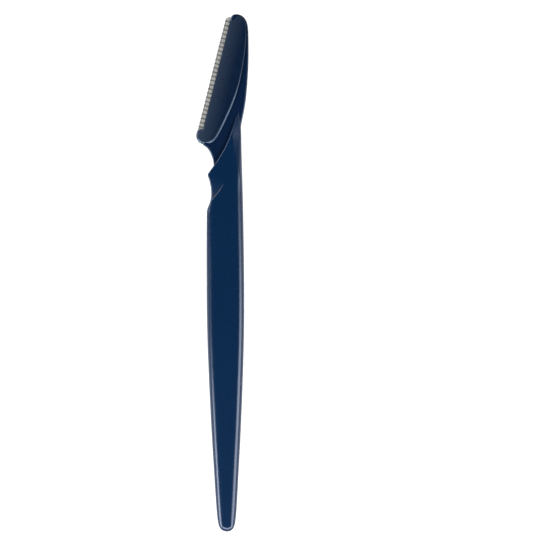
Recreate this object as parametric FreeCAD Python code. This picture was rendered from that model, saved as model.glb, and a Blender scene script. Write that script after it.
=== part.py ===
import FreeCAD, Part
import math
import os

from FreeCAD import Vector

# Eyebrow razor with a fixed blade behind a comb guard, lying on its back, in millimetres.
# X runs across the handle, Y from the handle's tip to the head, Z up from the face it rests on.
# The origin is under the middle of the razor's box. Front and back mirror each other.

# Whole razor
OVERALL_LENGTH = 150.0
HEAD_LENGTH = 37.5
LOBE_REACH = 8.14
SPINE_REACH = 6.93
NECK_LENGTH = 19.8

# Handle bar
GRIP_WIDTH = 10.65
GRIP_THICKNESS = 4.6
TIP_THICKNESS = 3.3
TIP_TAPER_LENGTH = 45.0
TAPER_BLEND_LENGTH = 4.0
BAR_EDGE_RADIUS = 1.3
SCOOP_RADIUS = 20.0
SCOOP_TILT_DEGREES = 2.5

# Neck and head frame, with a thin tang between the covers
FRAME_THICKNESS = 2.4
FRAME_EDGE_RADIUS = 0.45
TANG_THICKNESS = 0.9

# Blade
BLADE_WIDTH = 4.2
BLADE_THICKNESS = 0.25
BLADE_TOP_MARGIN = 1.5
BLADE_FOOT_MARGIN = 1.8
BLADE_CORNER_RADIUS = 1.25
BEVEL_WIDTH = 0.4
EDGE_THICKNESS = 0.03

# Comb guard
EXPOSED_WIDTH = 1.08
RIB_PITCH = 1.262
RIB_WIDTH = 0.29
GUARD_THICKNESS = 0.17
GUARD_NOSE = 0.12
GUARD_NOSE_SHARE = 0.4
WEB_WIDTH = 1.0

# Covers
COVER_HEIGHT = 1.8
CROWN_RADIUS = 28.0
CROWN_PLACE = 7.0
COVER_CORNER_RADIUS = 0.5
COVER_BEVEL = 0.3

# Locating posts of the rear cover
BLADE_POST_DIAMETER = 1.1
TANG_POST_DIAMETER = 1.6
POST_SOCKET_DEPTH = 0.5
SLOT_TRAVEL = 0.6

# Clearance of a fit, and how far a cutter runs past what it cuts
FIT = 0.04
OVERRUN = 5.0

# Outline of the bar: shares of half the grip width and of the handle's length, from the tip
BAR_NOSE_SHARES = (
    (0.188, 0.0040),
    (0.300, 0.0100),
    (0.394, 0.0200),
    (0.454, 0.0391),
)
BAR_SIDE_SHARES = (
    (0.634, 0.145),
    (0.872, 0.366),
    (0.999, 0.590),
    (1.003, 0.700),
    (0.963, 0.826),
    (0.901, 0.962),
    (0.850, 1.048),
    (0.766, 1.081),
    (0.640, 1.110),
)
SIDE_BEND_SHARE = 0.12

# Outlines of the head: shares of its width from the lobe and of its length from its foot
FRAME_SIDE_SHARES = (
    (0.790, -0.150),
    (0.842, 0.128),
    (0.905, 0.260),
    (0.971, 0.480),
    (0.997, 0.680),
    (0.998, 0.815),
    (0.988, 0.905),
    (0.960, 0.950),
    (0.909, 0.979),
    (0.845, 0.995),
    (0.780, 1.000),
    (0.713, 0.994),
    (0.676, 0.975),
    (0.664, 0.945),
)
COVER_SIDE_SHARES = (
    (0.020, 0.101),
    (0.004, 0.061),
    (0.065, 0.019),
    (0.173, 0.004),
    (0.300, 0.016),
    (0.408, 0.072),
    (0.537, 0.175),
    (0.722, 0.347),
    (0.847, 0.528),
    (0.929, 0.724),
    (0.951, 0.855),
    (0.937, 0.939),
)
COVER_TOP_SHARES = (0.789, 0.987)
LOBE_CORE_SHARES = (0.130, 0.060)
EDGE_FOOT_SHARES = (0.051, 0.131)
EDGE_TOP_SHARES = (0.570, 0.946)

# Cuts at the neck: shares of half the grip width and of the neck's length, up from the shoulder
STEP_SHARES = (
    (-1.164, 0.470),
    (-0.563, 0.682),
    (-0.169, 0.848),
    (0.188, 1.035),
    (0.545, 1.303),
    (0.920, 1.591),
)
NECK_SCALLOP_SHARES = (
    (-1.333, 1.025),
    (-1.108, 0.992),
    (-0.883, 0.944),
    (-0.704, 0.859),
    (-0.601, 0.747),
    (-0.586, 0.640),
)
NECK_FOOT_SHARES = (-0.500, 0.500)
GRIP_SCALLOP_SHARES = ((-0.950, 0.586), (-0.711, 0.308), (-0.770, 0.160), (-0.990, -0.020))
SCOOP_SHARES = ((0.006, 0.431), (-1.170, 0.594), (-1.180, -0.001))

# Posts: share of the exposed edge's length from its foot
POST_PLACE_SHARES = (0.22, 0.78)

# Derived sizes
HANDLE_LENGTH = OVERALL_LENGTH - HEAD_LENGTH
HEAD_WIDTH = LOBE_REACH + SPINE_REACH
AXIS_X = (LOBE_REACH - SPINE_REACH) / 2
MID_Z = GRIP_THICKNESS / 2
UP = Vector(0, 0, 1)


def place(across, along, height=0.0):
    """A point by its distances from the handle's axis, from its tip and from the middle plane."""
    return Vector(AXIS_X + across, along - OVERALL_LENGTH / 2, MID_Z + height)


def bar_point(shares):
    return place(shares[0] * GRIP_WIDTH / 2, shares[1] * HANDLE_LENGTH)


def head_point(shares):
    return place(shares[0] * HEAD_WIDTH - LOBE_REACH, HANDLE_LENGTH + shares[1] * HEAD_LENGTH)


def neck_point(shares):
    shoulder = HANDLE_LENGTH - NECK_LENGTH
    return place(shares[0] * GRIP_WIDTH / 2, shoulder + shares[1] * NECK_LENGTH)


# The cutting edge sets the head's own directions, along it and into the blade
EDGE_FOOT = head_point(EDGE_FOOT_SHARES)
EDGE_LENGTH = (head_point(EDGE_TOP_SHARES) - EDGE_FOOT).Length
ALONG_EDGE = (head_point(EDGE_TOP_SHARES) - EDGE_FOOT) / EDGE_LENGTH
INTO_BLADE = ALONG_EDGE.cross(UP)
BLADE_TOP = EDGE_LENGTH + BLADE_TOP_MARGIN
RIB_COUNT = round(EDGE_LENGTH / RIB_PITCH) + 1
WEB_TOP = (RIB_COUNT - 1) * RIB_PITCH + RIB_WIDTH / 2


def edge_point(along, inward, height=0.0):
    """A point by its distances up the cutting edge from its foot, into the blade and above it."""
    return EDGE_FOOT + ALONG_EDGE * along + INTO_BLADE * inward + UP * height


def line(start, end):
    return Part.makeLine(start, end)


def arc(start, middle, end):
    return Part.Arc(start, middle, end).toShape()


def curve(points, start_direction, end_direction):
    """A smooth curve through the points, with its directions at both ends."""
    start_direction.normalize()
    end_direction.normalize()
    spline = Part.BSplineCurve()
    spline.interpolate(Points=points, InitialTangent=start_direction, FinalTangent=end_direction, Scale=False)
    return spline.toShape()


def soft_runs(points):
    """Straight runs between the points, joined by tangent arcs that take a share of the shorter run."""
    edges = []
    run_start = points[0]
    for before, corner, after in zip(points, points[1:], points[2:]):
        reach = min((corner - before).Length, (after - corner).Length) * SIDE_BEND_SHARE
        back = (before - corner).normalize()
        ahead = (after - corner).normalize()
        bend_start = corner + back * reach
        bend_end = corner + ahead * reach
        slack = math.sqrt((1 + back.dot(ahead)) / 2)
        depth = reach * slack / (1 + math.sqrt(1 - slack ** 2))
        bend_middle = corner + (back + ahead).normalize() * depth
        edges += [line(run_start, bend_start), arc(bend_start, bend_middle, bend_end)]
        run_start = bend_end
    return edges + [line(run_start, points[-1])]


def prism(edges, bottom, top):
    """An outline drawn on the middle plane, raised between two heights."""
    face = Part.Face(Part.Wire(edges))
    face.translate(UP * bottom)
    return face.extrude(UP * (top - bottom))


def edge_box(along_low, along_high, inward_low, inward_high, bottom, top):
    """A block set square to the cutting edge."""
    corners = [
        edge_point(along_low, inward_low),
        edge_point(along_high, inward_low),
        edge_point(along_high, inward_high),
        edge_point(along_low, inward_high),
    ]
    edges = [line(corners[i - 1], corners[i]) for i in range(len(corners))]
    return prism(edges, bottom, top)


def mirror_to_back(shape):
    return shape.mirror(place(0, 0), UP)


def quarter_of_bar():
    """The right front quarter of the bar, thinner towards the tip, with its rim rounded."""
    tip = place(0, 0)
    nose_points = [tip] + [bar_point(shares) for shares in BAR_NOSE_SHARES]
    side_points = nose_points[-1:] + [bar_point(shares) for shares in BAR_SIDE_SHARES]
    nose = curve(nose_points, Vector(1, 0, 0), side_points[1] - side_points[0])
    corner = side_points[-1]
    end = Vector(tip.x, corner.y, tip.z)
    block = prism([nose] + soft_runs(side_points) + [line(corner, end), line(end, tip)], 0, GRIP_THICKNESS)

    slope = (GRIP_THICKNESS - TIP_THICKNESS) / 2 / TIP_TAPER_LENGTH
    blend = TAPER_BLEND_LENGTH / 2

    def top_point(along, sag=0.0):
        return place(-OVERRUN, along, GRIP_THICKNESS / 2 - sag)

    taper_start = top_point(-OVERRUN, (TIP_TAPER_LENGTH + OVERRUN) * slope)
    blend_start = top_point(TIP_TAPER_LENGTH - blend, blend * slope)
    blend_middle = top_point(TIP_TAPER_LENGTH, blend * slope / 4)
    blend_end = top_point(TIP_TAPER_LENGTH + blend)
    level_end = Vector(blend_end.x, end.y + OVERRUN, blend_end.z)
    low_start = place(-OVERRUN, -OVERRUN, -OVERRUN)
    low_end = Vector(level_end.x, level_end.y, low_start.z)
    profile = [
        line(taper_start, blend_start),
        arc(blend_start, blend_middle, blend_end),
        line(blend_end, level_end),
        line(level_end, low_end),
        line(low_end, low_start),
        line(low_start, taper_start),
    ]
    slab = Part.Face(Part.Wire(profile)).extrude(Vector(GRIP_WIDTH + OVERRUN, 0, 0))
    quarter = block.common(slab)

    def is_rim(box):
        above_parting = box.ZMin > MID_Z + TIP_THICKNESS / 4
        return above_parting and box.XMax > tip.x + BAR_EDGE_RADIUS and box.YLength > BAR_EDGE_RADIUS

    rim = [edge for edge in quarter.Edges if is_rim(edge.BoundBox)]
    return quarter.makeFillet(BAR_EDGE_RADIUS, rim)


def step_cutter():
    """Everything above the slanting step where the bar ends over the neck."""
    points = [neck_point(shares) for shares in STEP_SHARES]
    start, end = points[0], points[-1]
    top_right = Vector(end.x, OVERALL_LENGTH / 2, end.z)
    top_left = Vector(start.x, OVERALL_LENGTH / 2, start.z)
    edges = [
        curve(points, points[1] - start, end - points[-2]),
        line(end, top_right),
        line(top_right, top_left),
        line(top_left, start),
    ]
    return prism(edges, -GRIP_THICKNESS, GRIP_THICKNESS)


def grip_scallop_cutter():
    """The finger scallop between the neck's bump and the grip's shoulder."""
    bump, deepest, foot, shoulder = [neck_point(shares) for shares in GRIP_SCALLOP_SHARES]
    outside_low = shoulder - Vector(OVERRUN, 0, 0)
    outside_high = Vector(outside_low.x, bump.y, bump.z)
    edges = [
        arc(bump, deepest, foot),
        line(foot, shoulder),
        line(shoulder, outside_low),
        line(outside_low, outside_high),
        line(outside_high, bump),
    ]
    return prism(edges, -GRIP_THICKNESS, GRIP_THICKNESS)


def scoop_cutter():
    """A scoop in the front face that rolls down from its hinge line to a slanting wall."""
    fade, hinge, wall = [neck_point(shares) for shares in SCOOP_SHARES]
    block = prism([line(fade, hinge), line(hinge, wall), line(wall, fade)], 0, GRIP_THICKNESS)
    along_hinge = (hinge - fade).normalize()
    downhill = UP.cross(along_hinge)
    tilt = math.radians(SCOOP_TILT_DEGREES)
    crest = fade - downhill * SCOOP_RADIUS * math.sin(tilt)
    axis_height = GRIP_THICKNESS / 2 - SCOOP_RADIUS * math.cos(tilt)
    axis_start = crest - along_hinge * GRIP_WIDTH * 2 + UP * axis_height
    floor = Part.makeCylinder(SCOOP_RADIUS, GRIP_WIDTH * 4, axis_start, along_hinge)
    return block.cut(floor)


def bar():
    """The handle's bar with its tapered tip, cut back at the step, the scallop and both scoops."""
    quarter = quarter_of_bar()
    front = quarter.fuse(quarter.mirror(place(0, 0), Vector(1, 0, 0)))
    whole = front.fuse(mirror_to_back(front)).removeSplitter()
    scoop = scoop_cutter()
    return whole.cut([step_cutter(), grip_scallop_cutter(), scoop, mirror_to_back(scoop)])


def frame():
    """The flat neck and the spine that runs round the head, with rounded outer rims."""
    side_points = [head_point(shares) for shares in FRAME_SIDE_SHARES]
    scallop_points = [neck_point(shares) for shares in NECK_SCALLOP_SHARES]
    scallop_direction = scallop_points[1] - scallop_points[0]
    foot_left = neck_point(NECK_FOOT_SHARES)
    foot_right = Vector(side_points[0].x, foot_left.y, foot_left.z)
    lobe_core = head_point(LOBE_CORE_SHARES)
    edges = [
        curve(side_points, Vector(0, 1, 0), -ALONG_EDGE),
        line(side_points[-1], lobe_core),
        line(lobe_core, scallop_points[0]),
        curve(scallop_points, scallop_direction, Vector(0, -1, 0)),
        line(scallop_points[-1], foot_left),
        line(foot_left, foot_right),
        line(foot_right, side_points[0]),
    ]
    block = prism(edges, -FRAME_THICKNESS / 2, FRAME_THICKNESS / 2)
    rims = [edge for edge in block.Edges if isinstance(edge.Curve, Part.BSplineCurve)]
    return block.makeFillet(FRAME_EDGE_RADIUS, rims)


def cover_prism(bottom, top):
    """The leaf outline of a cover, straight beside the comb and with its corners rounded."""
    side_points = [head_point(shares) for shares in COVER_SIDE_SHARES]
    comb_top = edge_point(EDGE_LENGTH + BLADE_CORNER_RADIUS / 2, EXPOSED_WIDTH)
    comb_foot = edge_point(RIB_PITCH / 2, EXPOSED_WIDTH)
    edges = [
        line(comb_top, comb_foot),
        line(comb_foot, side_points[0]),
        curve(side_points, side_points[1] - side_points[0], side_points[-1] - side_points[-2]),
        arc(side_points[-1], head_point(COVER_TOP_SHARES), comb_top),
    ]
    block = prism(edges, bottom, top)
    corners = [edge for edge in block.Edges if edge.BoundBox.ZLength > (top - bottom) / 2]
    return block.makeFillet(COVER_CORNER_RADIUS, corners)


def posts(clearance):
    """Two posts through the blade and two through the tang, as pairs of centre and diameter."""
    blade_inward = (EXPOSED_WIDTH + WEB_WIDTH + BLADE_WIDTH) / 2
    tang_inward = BLADE_WIDTH + TANG_POST_DIAMETER
    shapes = []
    for share in POST_PLACE_SHARES:
        for inward, diameter in ((blade_inward, BLADE_POST_DIAMETER), (tang_inward, TANG_POST_DIAMETER)):
            centre = edge_point(EDGE_LENGTH * share, inward, -TANG_THICKNESS / 2)
            height = TANG_THICKNESS + POST_SOCKET_DEPTH + clearance
            shapes.append(Part.makeCylinder(diameter / 2 + clearance, height, centre, UP))
    return shapes


def blade():
    """A thin steel strip with a ground edge, one rounded corner, and a hole and a slot for posts."""
    flat = BLADE_THICKNESS / 2
    thin = EDGE_THICKNESS / 2
    section = [(0, thin), (BEVEL_WIDTH, flat), (BLADE_WIDTH, flat), (BLADE_WIDTH, -flat), (BEVEL_WIDTH, -flat), (0, -thin)]
    corners = [edge_point(-BLADE_FOOT_MARGIN, inward, height) for inward, height in section]
    face = Part.Face(Part.makePolygon(corners + corners[:1]))
    strip = face.extrude(ALONG_EDGE * (BLADE_TOP + BLADE_FOOT_MARGIN))

    radius = BLADE_CORNER_RADIUS
    bend = radius * (1 - math.sqrt(0.5))
    corner_start = edge_point(BLADE_TOP - radius, 0)
    corner_middle = edge_point(BLADE_TOP - bend, bend)
    corner_end = edge_point(BLADE_TOP, radius)
    outside_top = edge_point(BLADE_TOP + OVERRUN, radius)
    outside_foot = edge_point(BLADE_TOP - radius, -OVERRUN)
    outside = edge_point(BLADE_TOP + OVERRUN, -OVERRUN)
    corner = prism(
        [
            arc(corner_start, corner_middle, corner_end),
            line(corner_end, outside_top),
            line(outside_top, outside),
            line(outside, outside_foot),
            line(outside_foot, corner_start),
        ],
        -BLADE_THICKNESS,
        BLADE_THICKNESS,
    )
    round_post, slot_post = posts(FIT)[0], posts(FIT)[2]
    slot = slot_post.fuse([slot_post.translated(ALONG_EDGE * side * SLOT_TRAVEL / 2) for side in (-1, 1)])
    return strip.cut([corner, round_post, slot])


def micro_guard():
    """A row of ribs bent round the cutting edge, joined by a web on each face of the blade."""
    inward_end = EXPOSED_WIDTH + WEB_WIDTH
    half = BLADE_THICKNESS / 2 + GUARD_THICKNESS
    upper = [(-GUARD_NOSE, half * GUARD_NOSE_SHARE), (half - GUARD_NOSE, half), (inward_end, half)]
    lower = [(inward, -height) for inward, height in reversed(upper)]
    corners = [edge_point(0, inward, height) for inward, height in upper + lower]
    rib = Part.Face(Part.makePolygon(corners + corners[:1])).extrude(ALONG_EDGE * RIB_WIDTH)
    rib = rib.cut(blade())
    ribs = [rib.translated(ALONG_EDGE * (number * RIB_PITCH - RIB_WIDTH / 2)) for number in range(RIB_COUNT)]
    front_web = edge_box(-RIB_WIDTH / 2, WEB_TOP, EXPOSED_WIDTH + FIT, inward_end, BLADE_THICKNESS / 2, half)
    return ribs[0].fuse(ribs[1:] + [front_web, mirror_to_back(front_web)]).removeSplitter()


def cover():
    """The front cover: a crowned leaf that clamps the blade and the guard's web."""
    tang_face = TANG_THICKNESS / 2
    crown_axis = edge_point(-HEAD_LENGTH, CROWN_PLACE, COVER_HEIGHT - CROWN_RADIUS)
    crown = Part.makeCylinder(CROWN_RADIUS, HEAD_LENGTH * 3, crown_axis, ALONG_EDGE)
    leaf = cover_prism(tang_face, COVER_HEIGHT + OVERRUN).common(crown)
    rim = [edge for edge in leaf.Edges if edge.BoundBox.ZMin > MID_Z + tang_face + FIT]
    leaf = leaf.makeChamfer(COVER_BEVEL, rim)

    seat = edge_box(-BLADE_FOOT_MARGIN, BLADE_TOP, -OVERRUN, BLADE_WIDTH, BLADE_THICKNESS / 2, tang_face)
    pad = cover_prism(0, tang_face).common(seat)
    web_edge = EXPOSED_WIDTH + WEB_WIDTH + FIT
    guard_face = BLADE_THICKNESS / 2 + GUARD_THICKNESS
    channel = edge_box(-RIB_WIDTH / 2 - FIT, WEB_TOP + FIT, -OVERRUN, web_edge, 0, guard_face)
    return leaf.fuse(pad).cut(channel).removeSplitter()


def front_cover():
    return cover().cut(posts(FIT))


def rear_cover():
    return mirror_to_back(cover()).fuse(posts(0)).removeSplitter()


def handle():
    """The bar, neck and head frame as one moulding, with a tang that the covers close on."""
    leaf = cover_prism(TANG_THICKNESS / 2, GRIP_THICKNESS)
    half = FRAME_THICKNESS / 2 + FIT
    pocket = edge_box(-BLADE_FOOT_MARGIN - FIT, BLADE_TOP + FIT, -OVERRUN, BLADE_WIDTH + FIT, -half, half)
    body = bar().fuse(frame())
    return body.cut([leaf, mirror_to_back(leaf), pocket] + posts(FIT)).removeSplitter()


NODES = (handle, front_cover, rear_cover, blade, micro_guard)

os.makedirs("parts", exist_ok=True)
for node in NODES:
    node().exportStep(f"parts/{node.__name__}.step")
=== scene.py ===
import math

import bmesh
import bpy
import numpy as np
from mathutils import Matrix, Vector


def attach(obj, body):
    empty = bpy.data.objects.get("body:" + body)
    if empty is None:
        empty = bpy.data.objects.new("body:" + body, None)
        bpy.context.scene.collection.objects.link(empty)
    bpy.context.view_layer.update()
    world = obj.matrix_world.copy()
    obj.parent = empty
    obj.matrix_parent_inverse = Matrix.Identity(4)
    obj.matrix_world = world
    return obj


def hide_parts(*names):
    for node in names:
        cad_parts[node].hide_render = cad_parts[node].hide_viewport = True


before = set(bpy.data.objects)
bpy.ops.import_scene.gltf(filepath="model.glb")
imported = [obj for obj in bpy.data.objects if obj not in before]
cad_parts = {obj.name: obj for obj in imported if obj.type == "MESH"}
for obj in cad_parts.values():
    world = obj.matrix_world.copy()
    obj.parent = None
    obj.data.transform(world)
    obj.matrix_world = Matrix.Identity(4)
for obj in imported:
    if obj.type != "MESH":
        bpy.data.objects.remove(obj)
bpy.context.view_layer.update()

# Sizes in millimetres, the razor's own
MM = 0.001
OVERALL_LENGTH = 150.0
HEAD_LENGTH = 37.5
LOBE_REACH = 8.14
SPINE_REACH = 6.93
NECK_LENGTH = 19.8
GRIP_WIDTH = 10.65
GRIP_THICKNESS = 4.6
TIP_THICKNESS = 3.3
TAPER_LENGTH = 45.0
TAPER_POWER = 1.15
FRAME_THICKNESS = 2.4

HANDLE_LENGTH = OVERALL_LENGTH - HEAD_LENGTH
HEAD_WIDTH = LOBE_REACH + SPINE_REACH
HALF_GRIP = GRIP_WIDTH / 2
HALF_THICK = GRIP_THICKNESS / 2
HALF_FRAME = FRAME_THICKNESS / 2
AXIS_PLACE = ((LOBE_REACH - SPINE_REACH) / 2, -OVERALL_LENGTH / 2, HALF_THICK)

# The bar's rims, scoop and wedge; a pair of places is where a gradual change starts and ends
LEFT_RIM = 2.4
RIGHT_RIM = 2.2
RIM_DEPTH_SHARE = 0.75
UPPER_DEPTH_SHARE = 0.45
UPPER_PLACES = (72.0, 92.0)
DEEPEST_RIM_SHARE = 0.82
TIP_RIM_SHARE = 0.6
TIP_PLACES = (0.3, 5.0)
AXIS_PLACES = (-1.5, 1.5)
GRIP_OVERRUN = 5.0
NOTCH_RIM = 0.40
NOTCH_TURN = 2.0
STEP_RIM = 0.30
STEP_RIM_DEPTH = 0.18
WEDGE_RIM = 0.8
WEDGE_RIM_DEPTH = 0.55
WEDGE_BEVEL = 2.5
WEDGE_SLOPE = math.tan(math.radians(22.0))
WEDGE_PLACES = (97.0, 115.0)
SCOOP_RADIUS = 30.0
SCOOP_TILT = math.radians(5.0)
LIP_WIDTH_SHARE = 1.2
LIP_DEPTH_SHARE = 0.8
LIP_LIMIT = 0.42
BUMP_ROUNDING = 0.48
BLUNT_REACH = 1.1

# The spine and the covers
SPINE_RIM = 0.5
SPINE_RIM_DEPTH = 0.45
HIDDEN_TUCK = 0.5
COVER_HEIGHT = 1.8
CROWN_RADIUS = 45.0
CROWN_PLACE = 10.0
COVER_ROUNDING = 0.16
COMB_RIM = 1.0
COMB_RIM_DEPTH = 0.02
HEEL_RIM_DEPTH = 0.20
HEEL_REACH = 3.6
BELLY_RIM = 0.12
BELLY_SLOPE = math.tan(math.radians(25.0))
LOBE_BEVEL = 0.49
TOP_BEVEL = 0.1372
BEVEL_PLACES = (4.0, 18.0)
BEVEL_FADE = 1.2
WALL_OVERLAP = 0.06
LEAST_WALL = 0.1

# The blade and the comb that guards it
EXPOSED_WIDTH = 1.30
BLADE_THICKNESS = 0.25
BLADE_REACH = 0.14
BLADE_FOOT = -1.2
BLADE_DEPTH = 3.0
BLADE_CORNER_RADIUS = 1.25
BLADE_TOP_MARGIN = 1.5
GRIND_WIDTH = 0.4
HALF_EDGE = 0.02
GUARD_THICKNESS = 0.17
GUARD_NOSE = 0.26
GUARD_NOSE_PLACE = 0.1
GUARD_DEPTH = 2.0
RIB_PLAY = 0.015
RIB_PITCH = 1.262
RIB_WIDTH = 0.32
RIB_COUNT = 26
WINDOW_END = 1.20
WINDOW_FILLET = 0.30


# Lines on the middle plane: across from the handle's axis, and along from its tip
def handle_points(shares):
    """Shares of half the grip's width and of the handle's length."""
    return np.array(shares) * (HALF_GRIP, HANDLE_LENGTH)


def neck_points(shares):
    """Shares of half the grip's width and of the neck's length, up from the grip's shoulder."""
    return np.array(shares) * (HALF_GRIP, NECK_LENGTH) + (0, HANDLE_LENGTH - NECK_LENGTH)


def head_points(shares):
    """Shares of the head's width from the lobe and of its length from its foot."""
    return np.array(shares) * (HEAD_WIDTH, HEAD_LENGTH) + (-LOBE_REACH, HANDLE_LENGTH)


def unit(run):
    """Runs brought to a length of one."""
    return run / np.hypot(run[..., 0], run[..., 1])[..., None]


def left_of(run):
    """Runs given a quarter turn to the left."""
    return np.stack([-run[..., 1], run[..., 0]], -1)


def distance_along(line):
    return np.concatenate([[0.0], np.cumsum(np.hypot(*np.diff(line, axis=0).T))])


def smooth_line(points, count):
    """Natural cubic spline through the points by chord length, read at evenly spaced places."""
    knots = distance_along(points)
    steps = np.diff(knots)
    last = len(points) - 1
    system = np.eye(last + 1)
    right = np.zeros((last + 1, 2))
    rows = np.arange(1, last)
    system[rows, rows - 1] = steps[:-1]
    system[rows, rows] = 2 * (steps[:-1] + steps[1:])
    system[rows, rows + 1] = steps[1:]
    right[1:-1] = 6 * np.diff(np.diff(points, axis=0) / steps[:, None], axis=0)
    bends = np.linalg.solve(system, right)
    places = np.linspace(0, knots[-1], count)
    run = np.clip(np.searchsorted(knots, places, "right") - 1, 0, last - 1)
    step = steps[run][:, None]
    before = (knots[run + 1] - places)[:, None] / step
    after = 1 - before
    bend = (before ** 3 - before) * bends[run] + (after ** 3 - after) * bends[run + 1]
    return before * points[run] + after * points[run + 1] + bend * step ** 2 / 6


def circle_through(start, middle, end, count):
    """Points of the circle through three points, from the first to the last."""
    corners = np.array([start, middle, end])
    system = 2 * np.diff(corners, axis=0)
    centre = np.linalg.solve(system, np.diff((corners ** 2).sum(1)))
    rays = corners - centre
    turns = np.unwrap(np.arctan2(rays[:, 1], rays[:, 0]))
    swing = np.linspace(turns[0], turns[-1], count)
    return centre + np.hypot(*rays[0]) * np.stack([np.cos(swing), np.sin(swing)], -1)


def read_line(line, distance):
    """Points of a polyline at distances along it."""
    reach = distance_along(line)
    return np.stack([np.interp(distance, reach, line[:, k]) for k in range(2)], -1)


def spread(line, shares):
    """Points of a polyline at shares of its whole length."""
    return read_line(line, shares * distance_along(line)[-1])


def soften(line, reach, closed=False):
    """Each place becomes a bell-weighted mean of its neighbours on the line, which rounds the corners."""
    pitch = 0.04
    total = distance_along(line)[-1]
    dense = read_line(line, np.linspace(0, total, int(total / pitch)))
    half = int(3 * reach / pitch)
    bell = np.exp(-0.5 * (np.arange(-half, half + 1) * pitch / reach) ** 2)
    if closed:
        padded = np.concatenate([dense[-half - 1:-1], dense, dense[1:half + 1]])
    else:
        head = 2 * dense[0] - dense[half:0:-1]
        tail = 2 * dense[-1] - dense[-2:-half - 2:-1]
        padded = np.concatenate([head, dense, tail])
    return np.stack([np.convolve(padded[:, k], bell / bell.sum(), "valid") for k in range(2)], -1)


def nearest(points, line):
    """Distance from each point to a polyline, and how far along the line the nearest place is."""
    flat = points.reshape(-1, 2)
    start, edge = line[:-1], np.diff(line, axis=0)
    square = np.maximum((edge ** 2).sum(1), 1e-12)
    reach = distance_along(line)
    best, place = np.zeros(len(flat)), np.zeros(len(flat))
    batch = 4000
    for low in range(0, len(flat), batch):
        part = flat[low:low + batch]
        share = np.clip(((part[:, None] - start) * edge).sum(2) / square, 0, 1)
        gap = np.linalg.norm(part[:, None] - start - share[..., None] * edge, axis=2)
        pick, rows = gap.argmin(1), np.arange(len(part))
        best[low:low + batch] = gap[rows, pick]
        place[low:low + batch] = reach[pick] + share[rows, pick] * np.sqrt(square[pick])
    return best.reshape(points.shape[:-1]), place.reshape(points.shape[:-1])


def nearest_number(line, place):
    """The number of the line's point that lies nearest to a place."""
    return np.argmin(np.hypot(*(line - place).T))


def crossing(first, second):
    """Where two polylines cross, and how far along each that is."""
    run_a, run_b = np.diff(first, axis=0)[:, None], np.diff(second, axis=0)[None]
    wedge = run_a[..., 0] * run_b[..., 1] - run_a[..., 1] * run_b[..., 0]
    gap = second[None, :-1] - first[:-1, None]
    share_a = (gap[..., 0] * run_b[..., 1] - gap[..., 1] * run_b[..., 0]) / wedge
    share_b = (gap[..., 0] * run_a[..., 1] - gap[..., 1] * run_a[..., 0]) / wedge
    i, j = np.argwhere((share_a >= 0) & (share_a <= 1) & (share_b >= 0) & (share_b <= 1))[0]
    reach_a, reach_b = distance_along(first), distance_along(second)
    place_a = reach_a[i] + share_a[i, j] * (reach_a[i + 1] - reach_a[i])
    place_b = reach_b[j] + share_b[i, j] * (reach_b[j + 1] - reach_b[j])
    return read_line(first, [place_a])[0], place_a, place_b


def ease(value, low, high):
    """A smooth rise from nought at the low value to one at the high one."""
    share = np.clip((value - low) / (high - low), 0, 1)
    return share * share * (3 - 2 * share)


def mix(start, end, share):
    return start + (end - start) * share


def rim_drop(distance, width, depth):
    """A rim rounded as a quarter ellipse: no drop past its width, and its whole depth at the outline."""
    share = 1 - np.clip(distance / width, 0, 1)
    return depth * (1 - np.sqrt(np.maximum(1 - share ** 2, 0)))


def rim_shares(row_width, left_width, right_width, rim_steps, inner_steps):
    """Shares across each row: close together over the rounded rims, and even between them."""
    swing = 1 - np.cos(np.linspace(0, math.pi / 2, rim_steps + 1))
    left = swing * (left_width / row_width)[:, None]
    right = swing * (right_width / row_width)[:, None]
    crowd = np.maximum((left[:, -1] + right[:, -1]) / 0.9, 1)[:, None]
    left, right = left / crowd, right / crowd
    even = np.linspace(0, 1, inner_steps + 2)[1:-1]
    between = left[:, -1:] + (1 - left[:, -1:] - right[:, -1:]) * even
    return np.concatenate([left, between, 1 - right[:, ::-1]], 1)


def straight_rows(starts, ends, left_rim, right_rim, rim_steps, inner_steps):
    """Rows of points straight from their starts to their ends, and the shares at which the points lie."""
    rows = ends - starts
    width = np.maximum(np.hypot(*rows.T), 1e-6)
    shares = rim_shares(width, left_rim, right_rim, rim_steps, inner_steps)
    return starts[:, None] + shares[..., None] * rows[:, None], shares


# Meshes from grids of points
def raised(plan, height):
    """A grid on the middle plane with a height given to each of its points."""
    return np.concatenate([plan, np.broadcast_to(height, plan.shape[:-1])[..., None]], -1)


def with_walls(top):
    """A top grid with a column added at each side that drops straight to the middle plane."""
    return np.concatenate([top[:, :1] * (1, 1, 0), top, top[:, -1:] * (1, 1, 0)], 1)


def with_ends(grid):
    """A grid with a row added at each end that lies on the middle plane."""
    return np.concatenate([grid[:1] * (1, 1, 0), grid, grid[-1:] * (1, 1, 0)])


def both_faces(top):
    """A front grid and its mirror image on the back."""
    return [top, top * (1, 1, -1)]


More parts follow.
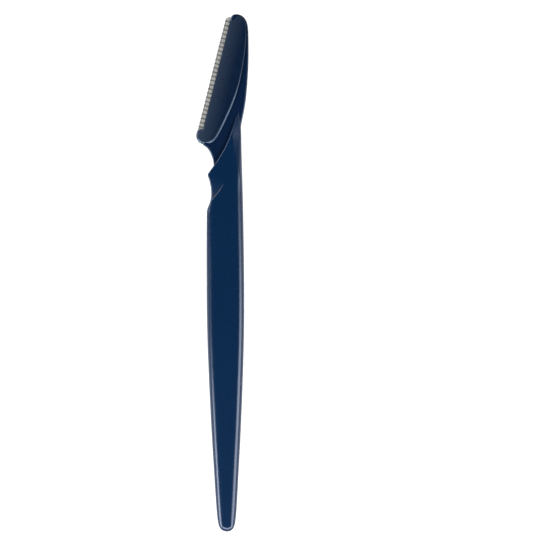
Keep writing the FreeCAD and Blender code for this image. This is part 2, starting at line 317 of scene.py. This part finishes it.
def piece_from_grids(name, grids, material, sharp=35.0):
    """One closed mesh from grids of points, with shared rims merged and its faces turned outwards."""
    places, faces, count = [], [], 0
    for grid in grids:
        index = count + np.arange(grid.shape[0] * grid.shape[1]).reshape(grid.shape[:2])
        quads = np.stack([index[:-1, :-1], index[:-1, 1:], index[1:, 1:], index[1:, :-1]], -1)
        places.append(grid.reshape(-1, 3))
        faces.append(quads.reshape(-1, 4))
        count += index.size
    places = (np.concatenate(places) + AXIS_PLACE) * MM
    mesh = bpy.data.meshes.new(name)
    mesh.from_pydata(places.tolist(), [], np.concatenate(faces).tolist())
    shape = bmesh.new()
    shape.from_mesh(mesh)
    bmesh.ops.remove_doubles(shape, verts=shape.verts, dist=2e-7)
    bmesh.ops.dissolve_degenerate(shape, edges=shape.edges, dist=1e-7)
    bmesh.ops.recalc_face_normals(shape, faces=shape.faces)
    shape.to_mesh(mesh)
    shape.free()
    mesh.shade_smooth()
    mesh.set_sharp_from_angle(angle=math.radians(sharp))
    mesh.materials.append(material)
    piece = bpy.data.objects.new(name, mesh)
    bpy.context.scene.collection.objects.link(piece)
    return piece


# The cutting edge, whose direction the blade, the comb and the covers share
EDGE_FOOT, EDGE_TOP = head_points([(0.051, 0.131), (0.570, 0.946)])
EDGE_LENGTH = np.hypot(*(EDGE_TOP - EDGE_FOOT))
ALONG_EDGE = (EDGE_TOP - EDGE_FOOT) / EDGE_LENGTH
INTO_BLADE = -left_of(ALONG_EDGE)


def edge_points(along, inward):
    """Places by their distances up the cutting edge and into the blade."""
    return EDGE_FOOT + np.multiply.outer(along, ALONG_EDGE) + np.multiply.outer(inward, INTO_BLADE)


# Handle bar
BAR_SIDE = handle_points([
    (0.0, 0.0), (0.216, 0.0024), (0.345, 0.0073), (0.428, 0.0150), (0.486, 0.0279), (0.549, 0.0588),
    (0.650, 0.136), (0.776, 0.239), (0.904, 0.368), (0.998, 0.497), (1.026, 0.600), (1.024, 0.677),
    (0.997, 0.806), (0.956, 0.909), (0.928, 0.961), (0.907, 1.012), (0.892, 1.040), (0.810, 1.079),
    (0.684, 1.110),
])
STEP = neck_points([
    (-1.187, 0.470), (-0.575, 0.682), (-0.169, 0.848), (0.188, 1.035), (0.545, 1.303), (0.920, 1.591),
])
BUMP, DEEPEST, SCOOP_FOOT, SHOULDER = neck_points([
    (-0.965, 0.545), (-0.750, 0.308), (-0.800, 0.150), (-1.031, 0.000),
])
SCOOP_FADE, SCOOP_HINGE = neck_points([(0.006, 0.431), (-1.170, 0.594)])
WALL_RUN = unit(SCOOP_FADE - SCOOP_FOOT)
NOSE_REACH = 4.0
TURN_START = 84.0


def bar_outline():
    """The bar's left side from the tip to just past its blunt bump, its right side from the tip to the
    wedge's point, the rest of the step between them, and how far along the left side the shoulder is.
    The sides and the step are smooth lines through their points, the scallop is an arc, and the corners
    are softened."""
    mirrored = BAR_SIDE[:0:-1] * (-1, 1)
    right = smooth_line(np.concatenate([mirrored, BAR_SIDE]), 8001)[4000:]
    right[0] = 0.0
    left = right * (-1, 1)
    step = smooth_line(STEP, 1200)
    shoulder, shoulder_place, _ = crossing(left, np.array([SCOOP_FOOT, SHOULDER]))
    scallop = circle_through(SCOOP_FOOT, DEEPEST, BUMP + (BUMP - DEEPEST) * 0.02, 400)
    _, scallop_end, step_start = crossing(scallop, step)
    blunt_end = step_start + BLUNT_REACH
    side = np.concatenate([
        read_line(left, np.linspace(0, shoulder_place, 3000)),
        np.linspace(shoulder, SCOOP_FOOT, 60)[1:-1],
        read_line(scallop, np.linspace(0, scallop_end, 300)),
        read_line(step, np.linspace(step_start, blunt_end, 30))[1:],
    ])
    side = soften(side, BUMP_ROUNDING)
    side[0] = 0.0
    _, right_end, step_end = crossing(right, step)
    right = read_line(right, np.linspace(0, right_end, 3000))
    return side, right, read_line(step, np.linspace(blunt_end, step_end, 500)), shoulder_place


def row_places(side, wall_place, level, turn, rise):
    """How far along one side each row meets it. Level rows go by their height, which only rises on the
    side's first nine tenths. The next turn until they lie on the scoop's wall, and the last rise to the
    step."""
    reach = distance_along(side)
    rising = len(side) * 9 // 10
    turn_place = np.interp(TURN_START, side[:rising, 1], reach[:rising])
    return np.concatenate([
        np.interp(level, side[:rising, 1], reach[:rising]),
        turn_place + (wall_place - turn_place) * turn,
        wall_place + (reach[-1] - wall_place) * rise,
    ])


def lean(side, place, rows):
    """How square the rows meet a side: the sine of the angle between them, and no less than 0.35."""
    ahead = read_line(side, place + 0.05) - read_line(side, place - 0.05)
    wedge = np.abs(ahead[:, 0] * rows[:, 1] - ahead[:, 1] * rows[:, 0])
    width = np.maximum(np.hypot(*rows.T), 1e-6)
    return np.clip(wedge / width / np.maximum(np.hypot(*ahead.T), 1e-9), 0.35, 1)


def bar_plan(side, right, step):
    """The bar's rows on the middle plane, and which of them lie over the scoop. A row is the straight line
    between its places on the two sides, plus a share of the step's bulge that grows from nought at the
    scoop's wall to one at the last row, which so lies on the step."""
    foot_place = nearest(SCOOP_FOOT[None], side)[1][0]
    meet_place = crossing(right, np.array([SCOOP_FOOT, SCOOP_FOOT + WALL_RUN * 20]))[1]
    nose = NOSE_REACH * (1 - np.cos(np.linspace(0, math.pi / 2, 26)))
    level = np.concatenate([nose, np.linspace(NOSE_REACH, TURN_START, 121)[1:-1]])
    close = np.array([0.001, 0.004, 0.008, 0.012, 0.020, 0.028, 0.038])
    turn = np.sort(np.concatenate([np.linspace(0, 1, 71)[:-1], 1 - close]))
    rise = np.sort(np.concatenate([np.linspace(0, 1, 61), close, 1 - close]))
    left_place = row_places(side, foot_place, level, turn, rise)
    right_place = row_places(right, meet_place, level, turn, rise)
    starts, ends = read_line(side, left_place), read_line(right, right_place)
    past_foot = ease(left_place, foot_place, foot_place + NOTCH_TURN)
    left_rim = mix(LEFT_RIM, NOTCH_RIM, past_foot) / lean(side, left_place, ends - starts)
    right_rim = RIGHT_RIM / lean(right, right_place, ends - starts)
    plan, shares = straight_rows(starts, ends, left_rim, right_rim, 12, 22)
    step_share = distance_along(step) / distance_along(step)[-1]
    bulge_line = step - step[0] - step_share[:, None] * (step[-1] - step[0])
    bulge = np.stack([np.interp(shares, step_share, bulge_line[:, k]) for k in range(2)], -1)
    before_scoop = len(level) + len(turn)
    bend = np.concatenate([np.zeros(before_scoop), rise])
    over_scoop = np.arange(len(starts)) >= before_scoop
    return plan + bend[:, None, None] * bulge, over_scoop[:, None]


def scoop_sink(plan, over_scoop):
    """How far the scoop sinks the face. Its floor is a tilted plane plus a parabola, by the distance
    downhill from the hinge. On the wall's other side the face rounds down to it as a quarter ellipse."""
    downhill = left_of(unit(SCOOP_HINGE - SCOOP_FADE))
    fall = np.maximum((plan - SCOOP_FADE) @ downhill, 0)
    scoop = math.tan(SCOOP_TILT) * fall + fall ** 2 / (2 * SCOOP_RADIUS)
    across_wall = np.abs((plan - SCOOP_FOOT) @ left_of(WALL_RUN))
    lip = np.clip(scoop * LIP_WIDTH_SHARE, 1e-6, LIP_LIMIT)
    return np.where(over_scoop, scoop, rim_drop(across_wall, lip, lip * LIP_DEPTH_SHARE))


def side_drop(plan, gap_left, gap_right, wedge, half_height):
    """The rounded rim of the bar's two sides, a quarter ellipse by the distance from the nearer one. Its
    width and depth change over at the handle's axis, shrink at the tip, and narrow on the right up the
    wedge."""
    across, along = plan[..., 0], plan[..., 1]
    rightness = ease(across, *AXIS_PLACES)
    tip_share = mix(TIP_RIM_SHARE, 1.0, ease(along, *TIP_PLACES))
    right_width = mix(RIGHT_RIM, WEDGE_RIM, wedge)
    right_depth = mix(RIM_DEPTH_SHARE * RIGHT_RIM, WEDGE_RIM_DEPTH, wedge)
    left_depth = LEFT_RIM * mix(RIM_DEPTH_SHARE, UPPER_DEPTH_SHARE, ease(along, *UPPER_PLACES))
    width = mix(LEFT_RIM, right_width, rightness) * tip_share
    depth = mix(left_depth, right_depth, rightness) * tip_share
    depth = np.minimum(depth, DEEPEST_RIM_SHARE * half_height)
    return rim_drop(np.minimum(gap_left, gap_right), width, depth)


def build_bar():
    """The handle's bar. Its height is half the thickness, less a taper that is a power of the distance to
    the tip, less the deeper of the scoop and the sides' rim, less the drops at the wedge's side, the notch
    and the step. The last rows are the step's wall, straight down to the middle plane."""
    side, right, step, shoulder_place = bar_outline()
    plan, over_scoop = bar_plan(side, right, step)
    below_shoulder = distance_along(side) < shoulder_place
    grip_side = side[below_shoulder]
    grip_end = grip_side[-1]
    beyond = grip_end + GRIP_OVERRUN * unit(grip_end - grip_side[-40])
    gap_left = nearest(plan, np.concatenate([grip_side[::8], [grip_end, beyond]]))[0]
    gap_notch = nearest(plan, side[~below_shoulder][::4])[0]
    gap_right = nearest(plan, right[::8])[0]
    gap_step = nearest(plan, step[::3])[0]

    to_tip = np.clip(1 - plan[..., 1] / TAPER_LENGTH, 0, 1)
    half_height = HALF_THICK - (GRIP_THICKNESS - TIP_THICKNESS) / 2 * to_tip ** TAPER_POWER
    wedge = ease(plan[..., 1], *WEDGE_PLACES)
    wedge_drop = WEDGE_SLOPE * np.maximum(WEDGE_BEVEL * wedge - gap_right, 0)
    rounding = side_drop(plan, gap_left, gap_right, wedge, half_height)
    notch_drop = rim_drop(gap_notch, NOTCH_RIM, RIM_DEPTH_SHARE * NOTCH_RIM)
    step_drop = np.where(over_scoop, rim_drop(gap_step, STEP_RIM, STEP_RIM_DEPTH), 0)
    sunk = np.maximum(scoop_sink(plan, over_scoop), rounding)
    top = with_walls(raised(plan, half_height - wedge_drop - sunk - notch_drop - step_drop))
    wall = np.stack([top[-1] * (1, 1, share) for share in (0.66, 0.33, 0.0)])
    return np.concatenate([top, wall])


# Neck and spine
SPINE_SIDE = head_points([
    (0.790, -0.150), (0.853, 0.128), (0.920, 0.260), (0.985, 0.480), (1.009, 0.680), (1.009, 0.815),
    (0.997, 0.905), (0.966, 0.950), (0.912, 0.979), (0.845, 0.995), (0.780, 1.000), (0.713, 0.994),
    (0.674, 0.975), (0.662, 0.945),
])
NECK_SCALLOP = neck_points([
    (-0.600, 0.560), (-0.600, 0.640), (-0.630, 0.747), (-0.772, 0.859), (-0.945, 0.932), (-1.150, 0.975),
    (-1.360, 1.005),
])
LEAF_BELLY = head_points([
    (0.012, 0.101), (-0.008, 0.057), (0.050, 0.010), (0.158, -0.005), (0.303, 0.010), (0.423, 0.067),
    (0.558, 0.172), (0.742, 0.344), (0.866, 0.526), (0.946, 0.723), (0.966, 0.855), (0.946, 0.941),
])
LEAF_TOP = head_points((0.789, 0.987))
LEAF_FOOT = LEAF_BELLY[3]


def leaf_outline():
    """The cover's outline in two halves, both from the foot of the lobe to the top of the head. The belly
    is a smooth line, the top an arc, the comb side straight, and the corners between them are softened."""
    belly = smooth_line(LEAF_BELLY, 3000)
    comb_top = edge_points(EDGE_LENGTH + BLADE_CORNER_RADIUS / 2, EXPOSED_WIDTH)
    comb_foot = edge_points(-0.25, EXPOSED_WIDTH)
    whole = np.concatenate([
        belly,
        circle_through(belly[-1], LEAF_TOP, comb_top, 200)[1:],
        np.linspace(comb_top, comb_foot, 400)[1:],
        np.linspace(comb_foot, belly[0], 60)[1:],
    ])
    whole = soften(whole, COVER_ROUNDING, closed=True)[:-1]
    whole = np.roll(whole, -nearest_number(whole, LEAF_FOOT), axis=0)
    top = nearest_number(whole, LEAF_TOP)
    belly_half = whole[:top + 1]
    comb_half = np.concatenate([whole[:1], whole[:top - 1:-1]])
    return comb_half, belly_half


def build_spine():
    """The neck and the spine, a flat plate. Rows run straight from an inner line, which is the open scallop
    and then a line hidden under the leaf, to the outer side. The height is half the frame's thickness,
    less a quarter ellipse rim along the outer side and the scallop."""
    _, belly_half = leaf_outline()
    scallop = smooth_line(NECK_SCALLOP, 600)
    hidden = belly_half + HIDDEN_TUCK * left_of(unit(np.gradient(belly_half, axis=0)))
    spine = smooth_line(SPINE_SIDE, 3000)
    open_side = scallop[:nearest_number(scallop, hidden[0] - (0.3, 0))]
    inner = np.concatenate([open_side, hidden[nearest_number(hidden, open_side[-1]):]])
    swing = np.sort(np.concatenate([np.linspace(0, 1, 171), [0.0008, 0.0025, 0.9992, 0.9975]]))
    plan, _ = straight_rows(spread(inner, swing), spread(spine, swing), SPINE_RIM, SPINE_RIM, 8, 14)
    outer_drop = rim_drop(nearest(plan, spine[::6])[0], SPINE_RIM, SPINE_RIM_DEPTH)
    open_drop = rim_drop(nearest(plan, open_side[::4])[0], SPINE_RIM, SPINE_RIM_DEPTH)
    return with_ends(with_walls(raised(plan, HALF_FRAME - outer_drop - open_drop)))


def crown_height(plan):
    """The leaf's crown: part of a large cylinder along the cutting edge, highest near the belly."""
    inward = (plan - EDGE_FOOT) @ INTO_BLADE - CROWN_PLACE
    return COVER_HEIGHT - CROWN_RADIUS + np.sqrt(CROWN_RADIUS ** 2 - inward ** 2)


def build_leaf():
    """A cover's leaf. Rows run straight from the comb side to the belly. The height is the crown's, less
    the deeper of two drops: a quarter ellipse rim beside the comb, and along the belly a bevel of constant
    slope that ends in a small quarter ellipse wall. The bevel starts on the heel, and narrows upwards."""
    comb_half, belly_half = leaf_outline()
    places = mix(0.5 - 0.5 * np.cos(np.linspace(0, math.pi, 221)), np.linspace(0, 1, 221), 0.65)
    plan, _ = straight_rows(spread(comb_half, places), spread(belly_half, places), COMB_RIM, 0.5, 14, 26)
    crown = crown_height(plan)
    along = (plan - EDGE_FOOT) @ ALONG_EDGE
    comb_depth = mix(HEEL_RIM_DEPTH, COMB_RIM_DEPTH, ease(along, -1.0, 1.0))
    comb_drop = rim_drop(nearest(plan, comb_half[::4])[0], COMB_RIM, comb_depth)
    heel = comb_half[distance_along(comb_half) < HEEL_REACH][:0:-1]
    belly_gap, belly_place = nearest(plan, np.concatenate([heel, belly_half])[::6])
    fade = ease(belly_place, 0, BEVEL_FADE)
    bevel = (BELLY_RIM + mix(LOBE_BEVEL, TOP_BEVEL, ease(along, *BEVEL_PLACES))) * fade
    wall = np.maximum(crown - HALF_FRAME + WALL_OVERLAP - BELLY_SLOPE * bevel, LEAST_WALL) * fade
    belly_drop = BELLY_SLOPE * np.maximum(bevel - belly_gap, 0) + rim_drop(belly_gap, BELLY_RIM, wall)
    return with_walls(raised(plan, crown - np.maximum(comb_drop, belly_drop)))


# Blade and comb guard
def build_blade():
    """The blade: its section, a strip ground to an edge on both faces, is carried up the cutting edge. At
    the top it is cut back along a quarter circle, so no place lies nearer to the edge than the arc."""
    half = BLADE_THICKNESS / 2
    top = EDGE_LENGTH + BLADE_TOP_MARGIN
    along = np.concatenate([
        np.linspace(BLADE_FOOT, top - BLADE_CORNER_RADIUS, 80)[:-1],
        top - BLADE_CORNER_RADIUS * (1 - np.sin(np.linspace(0, math.pi / 2, 13))),
    ])
    past_corner = np.clip(1 - (top - along) / BLADE_CORNER_RADIUS, 0, 1)
    cut = BLADE_CORNER_RADIUS * (1 - np.sqrt(1 - past_corner ** 2))
    section = np.array([0, GRIND_WIDTH, BLADE_DEPTH, BLADE_DEPTH, GRIND_WIDTH, 0, 0])
    height = np.array([HALF_EDGE, half, half, -half, -half, -HALF_EDGE, HALF_EDGE])
    inward = np.maximum(section, cut[:, None]) - BLADE_REACH
    plan = EDGE_FOOT + along[:, None, None] * ALONG_EDGE + inward[..., None] * INTO_BLADE
    return with_ends(raised(plan, height))


def squared(wave):
    """A wave between minus one and one, pushed out towards a square one by a power of its size."""
    return np.sign(wave) * np.abs(wave) ** 0.6


def build_ribs():
    """The comb's ribs. A rounded section, a superellipse, is carried along a path that runs out on one face
    of the blade, half an ellipse round its edge, and back on the other face. At the web each rib widens,
    by a quarter circle, to half the pitch on both sides, where it meets its neighbours."""
    centre = BLADE_THICKNESS / 2 + GUARD_THICKNESS / 2
    fillet = WINDOW_END - WINDOW_FILLET * np.linspace(0, 1, 9)[1:] ** 2
    inward = np.concatenate([np.linspace(GUARD_DEPTH, WINDOW_END, 4), fillet, [0.35, 0.15]])
    nose = np.linspace(0, math.pi, 13)
    face = np.full(len(inward), centre)
    round_edge = GUARD_NOSE_PLACE - (GUARD_NOSE + RIB_PLAY) * np.sin(nose)
    path_inward = np.concatenate([inward, round_edge, inward[::-1]])
    path_height = np.concatenate([face, centre * np.cos(nose), -face])
    flare = np.clip((path_inward - WINDOW_END + WINDOW_FILLET) / WINDOW_FILLET, 0, 1)
    half_width = RIB_WIDTH / 2 + WINDOW_FILLET * (1 - np.sqrt(1 - flare ** 2))
    half_width = np.where(path_inward >= WINDOW_END, RIB_PITCH / 2, half_width)
    outward = -left_of(unit(np.gradient(np.stack([path_inward, path_height], -1), axis=0)))
    loop = np.linspace(0, 2 * math.pi, 17)
    across = half_width[:, None] * squared(np.cos(loop))
    lift = squared(np.sin(loop)) * (GUARD_THICKNESS / 2 - 0.002)
    depth = path_inward[:, None] + outward[:, :1] * lift
    height = path_height[:, None] + outward[:, 1:] * lift
    return [raised(edge_points(number * RIB_PITCH + across, depth), height) for number in range(RIB_COUNT)]


# Materials
def new_material(name):
    material = bpy.data.materials.new(name)
    material.use_nodes = True
    nodes = material.node_tree.nodes
    links = material.node_tree.links
    return material, nodes, links, nodes["Principled BSDF"]


def grain(nodes, links, place, scale, detail=4.0, rough=0.6):
    noise = nodes.new("ShaderNodeTexNoise")
    noise.inputs["Scale"].default_value = scale
    noise.inputs["Detail"].default_value = detail
    noise.inputs["Roughness"].default_value = rough
    links.new(place, noise.inputs["Vector"])
    return noise


def value_span(nodes, links, source, low, high, socket):
    """A value that follows a noise from low to high."""
    ramp = nodes.new("ShaderNodeMapRange")
    ramp.inputs["To Min"].default_value = low
    ramp.inputs["To Max"].default_value = high
    links.new(source.outputs["Fac"], ramp.inputs["Value"])
    links.new(ramp.outputs["Result"], socket)


def colour_span(nodes, links, source, dark, light, socket):
    """A colour that follows a noise from dark to light."""
    colours = nodes.new("ShaderNodeMix")
    colours.data_type = "RGBA"
    colours.inputs["A"].default_value = (*dark, 1)
    colours.inputs["B"].default_value = (*light, 1)
    links.new(source.outputs["Fac"], colours.inputs["Factor"])
    links.new(colours.outputs["Result"], socket)


def navy_plastic(name, dark, light, gloss, sheen, grain_depth=0.000003, drift_scale=120.0):
    """Moulded satin plastic: faint colour drift, uneven gloss and a fine grain."""
    material, nodes, links, shader = new_material(name)
    shader.inputs["Specular IOR Level"].default_value = 0.72
    shader.inputs["Specular Tint"].default_value = (*sheen, 1)
    place = nodes.new("ShaderNodeTexCoord").outputs["Object"]
    drift = grain(nodes, links, place, drift_scale)
    colour_span(nodes, links, drift, dark, light, shader.inputs["Base Color"])
    value_span(nodes, links, grain(nodes, links, place, 600.0), *gloss, shader.inputs["Roughness"])
    fine = grain(nodes, links, place, 6000.0, 2.0)
    bump = nodes.new("ShaderNodeBump")
    bump.inputs["Strength"].default_value = 0.25
    bump.inputs["Distance"].default_value = grain_depth
    links.new(fine.outputs["Fac"], bump.inputs["Height"])
    links.new(bump.outputs["Normal"], shader.inputs["Normal"])
    return material


def steel(name, dark, light, gloss):
    """Ground steel: fine lines along one direction in its colour and gloss."""
    material, nodes, links, shader = new_material(name)
    shader.inputs["Metallic"].default_value = 0.6
    coordinates = nodes.new("ShaderNodeTexCoord")
    turn = nodes.new("ShaderNodeMapping")
    turn.inputs["Rotation"].default_value = (0, 0, 0.25)
    turn.inputs["Scale"].default_value = (1.0, 0.04, 1.0)
    links.new(coordinates.outputs["Object"], turn.inputs["Vector"])
    lines = grain(nodes, links, turn.outputs["Vector"], 5000.0, 3.0, 0.5)
    colour_span(nodes, links, lines, dark, light, shader.inputs["Base Color"])
    value_span(nodes, links, lines, *gloss, shader.inputs["Roughness"])
    return material


def ground_strip_and_painted_sheen(material, near_colour, near, far):
    """Another colour beside the cutting edge, which gives way between two distances into the blade. It
    gives the blade its darker ground strip, and the cover a painted sheen beside the comb.
    """
    nodes, links = material.node_tree.nodes, material.node_tree.links
    shader = nodes["Principled BSDF"]
    flat = shader.inputs["Base Color"].links[0].from_socket
    coordinates = nodes.new("ShaderNodeTexCoord")
    inward = nodes.new("ShaderNodeVectorMath")
    inward.operation = "DOT_PRODUCT"
    inward.inputs[1].default_value = (*INTO_BLADE, 0)
    links.new(coordinates.outputs["Object"], inward.inputs[0])
    edge_place = float((EDGE_FOOT + AXIS_PLACE[:2]) @ INTO_BLADE)
    turn = nodes.new("ShaderNodeMapRange")
    turn.inputs["From Min"].default_value = (edge_place + near) * MM
    turn.inputs["From Max"].default_value = (edge_place + far) * MM
    links.new(inward.outputs["Value"], turn.inputs["Value"])
    both = nodes.new("ShaderNodeMix")
    both.data_type = "RGBA"
    both.inputs["A"].default_value = (*near_colour, 1)
    links.new(flat, both.inputs["B"])
    links.new(turn.outputs["Result"], both.inputs["Factor"])
    links.new(both.outputs["Result"], shader.inputs["Base Color"])


BAR_SHEEN = (0.72, 0.81, 1.0)
COVER_SHEEN = (0.56, 0.73, 1.0)
GRIND_END = GRIND_WIDTH - BLADE_REACH

handle_plastic = navy_plastic(
    "handle_plastic", (0.0003, 0.0104, 0.037), (0.0006, 0.0121, 0.0415), (0.19, 0.24), BAR_SHEEN)
# The neck and spine are the bar's own plastic made darker: painted shade for the light that the leaf and
# the step keep off them.
neck_plastic_painted_shade = navy_plastic(
    "neck_plastic_painted_shade", (0.0003, 0.0058, 0.024), (0.0006, 0.0076, 0.029), (0.22, 0.28), COVER_SHEEN)
cover_plastic = navy_plastic(
    "cover_plastic", (0.0001, 0.0030, 0.014), (0.0006, 0.0085, 0.029), (0.25, 0.32), COVER_SHEEN,
    grain_depth=0.00002, drift_scale=450.0)
# Painted sheen: the cover turns lighter beside the comb, where its crown tilts towards the light.
ground_strip_and_painted_sheen(cover_plastic, (0.014, 0.023, 0.043), 0.9, 6.0)
blade_steel = steel("blade_steel", (0.47, 0.47, 0.45), (0.65, 0.65, 0.63), (0.35, 0.45))
ground_strip_and_painted_sheen(blade_steel, (0.30, 0.30, 0.29), GRIND_END - 0.05, GRIND_END + 0.05)
guard_steel = steel("guard_steel", (0.12, 0.125, 0.12), (0.18, 0.19, 0.18), (0.40, 0.50))


# Pieces
def stand_for(piece, node):
    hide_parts(node)
    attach(piece, "root")


handle_bar = piece_from_grids("handle_bar", both_faces(build_bar()), handle_plastic)
stand_for(handle_bar, "handle")
neck_and_spine = piece_from_grids("neck_and_spine", both_faces(build_spine()), neck_plastic_painted_shade)
stand_for(neck_and_spine, "handle")
leaf = build_leaf()
leaf_floor = leaf * (1, 1, 0)
front_leaf = piece_from_grids("front_leaf", [leaf, leaf_floor], cover_plastic)
stand_for(front_leaf, "front_cover")
rear_leaf = piece_from_grids("rear_leaf", [leaf * (1, 1, -1), leaf_floor], cover_plastic)
stand_for(rear_leaf, "rear_cover")
comb_guard = piece_from_grids("comb_guard", build_ribs(), guard_steel, 50.0)
stand_for(comb_guard, "micro_guard")
blade_strip = piece_from_grids("blade_strip", [build_blade()], blade_steel)
stand_for(blade_strip, "blade")


# Floor, world, lamps and camera
def background_mix(nodes, links):
    """One where a camera, glossy or transmission ray looks, and zero for light that bounces."""
    path = nodes.new("ShaderNodeLightPath")
    first = nodes.new("ShaderNodeMath")
    first.operation = "MAXIMUM"
    links.new(path.outputs["Is Camera Ray"], first.inputs[0])
    links.new(path.outputs["Is Glossy Ray"], first.inputs[1])
    second = nodes.new("ShaderNodeMath")
    second.operation = "MAXIMUM"
    links.new(first.outputs[0], second.inputs[0])
    links.new(path.outputs["Is Transmission Ray"], second.inputs[1])
    return second


def pale_floor():
    """A pale matt floor that looks white and still shows the razor's shadow."""
    mesh = bpy.data.meshes.new("floor")
    half = 3.0
    corners = [(-half, -half, 0), (half, -half, 0), (half, half, 0), (-half, half, 0)]
    mesh.from_pydata(corners, [], [(0, 1, 2, 3)])
    floor = bpy.data.objects.new("floor", mesh)
    bpy.context.scene.collection.objects.link(floor)
    material, nodes, links, shader = new_material("pale_floor")
    shader.inputs["Base Color"].default_value = (0.45, 0.45, 0.45, 1)
    shader.inputs["Roughness"].default_value = 1.0
    shader.inputs["Specular IOR Level"].default_value = 0.0
    seen = background_mix(nodes, links)
    glow = nodes.new("ShaderNodeMath")
    glow.operation = "MULTIPLY"
    glow.inputs[1].default_value = 0.75
    links.new(seen.outputs[0], glow.inputs[0])
    shader.inputs["Emission Color"].default_value = (1, 1, 1, 1)
    links.new(glow.outputs[0], shader.inputs["Emission Strength"])
    mesh.materials.append(material)


def studio_world():
    """White to the camera. For the razor it is white near the horizon and dark overhead, as in a studio."""
    world = bpy.data.worlds.new("studio")
    bpy.context.scene.world = world
    world.use_nodes = True
    nodes, links = world.node_tree.nodes, world.node_tree.links
    surface = nodes["Background"]
    path = nodes.new("ShaderNodeLightPath")
    coordinates = nodes.new("ShaderNodeTexCoord")
    split = nodes.new("ShaderNodeSeparateXYZ")
    links.new(coordinates.outputs["Generated"], split.inputs[0])
    fall = nodes.new("ShaderNodeMapRange")
    fall.inputs["From Min"].default_value = 0.05
    fall.inputs["From Max"].default_value = 0.50
    fall.inputs["To Min"].default_value = 1.0
    fall.inputs["To Max"].default_value = 0.03
    links.new(split.outputs["Z"], fall.inputs["Value"])
    pick = nodes.new("ShaderNodeMix")
    pick.data_type = "FLOAT"
    links.new(path.outputs["Is Camera Ray"], pick.inputs["Factor"])
    links.new(fall.outputs["Result"], pick.inputs["A"])
    pick.inputs["B"].default_value = 1.0
    surface.inputs["Color"].default_value = (1, 1, 1, 1)
    links.new(pick.outputs["Result"], surface.inputs["Strength"])


def lamp(name, place, aim, across, along, power):
    """A rectangular softbox that faces its aim. Its first side is square to the handle's direction."""
    light = bpy.data.lights.new(name, "AREA")
    light.shape = "RECTANGLE"
    light.size = across
    light.size_y = along
    light.energy = power
    lamp_object = bpy.data.objects.new(name, light)
    bpy.context.scene.collection.objects.link(lamp_object)
    back = (Vector(place) - Vector(aim)).normalized()
    side = Vector((0, 1, 0)).cross(back).normalized()
    turned = Matrix((side, back.cross(side), back)).transposed().to_4x4()
    lamp_object.matrix_world = Matrix.Translation(place) @ turned


def camera():
    """Looks straight down on the razor, with the photograph's width in view and its lean of the handle."""
    sensor_width = 36.0
    view_width = 0.1595
    distance = 1.0
    data = bpy.data.cameras.new("camera")
    data.lens = sensor_width * distance / view_width
    data.clip_start = 0.01
    data.clip_end = 100
    eye = bpy.data.objects.new("camera", data)
    bpy.context.scene.collection.objects.link(eye)
    eye.location = (15.0 * MM, -0.66 * MM, HALF_THICK * MM + distance)
    eye.rotation_euler = (0, 0, -0.0051)
    bpy.context.scene.camera = eye


pale_floor()
studio_world()
lamp("right_softbox", (0.69, -0.28, 0.58), (0, -0.05, 0), 0.55, 0.62, 6.6)
lamp("left_softbox", (-0.60, -0.275, 0.42), (0, -0.05, 0), 0.30, 0.36, 3.4)
lamp("tip_softbox", (0.02, -0.40, 0.46), (0, -0.05, 0), 0.80, 0.24, 4.5)
lamp("head_softbox", (-0.612, 0.325, 0.40), (0, 0.03, 0), 0.30, 0.45, 3.3)
camera()
bpy.context.scene.view_settings.view_transform = "Standard"
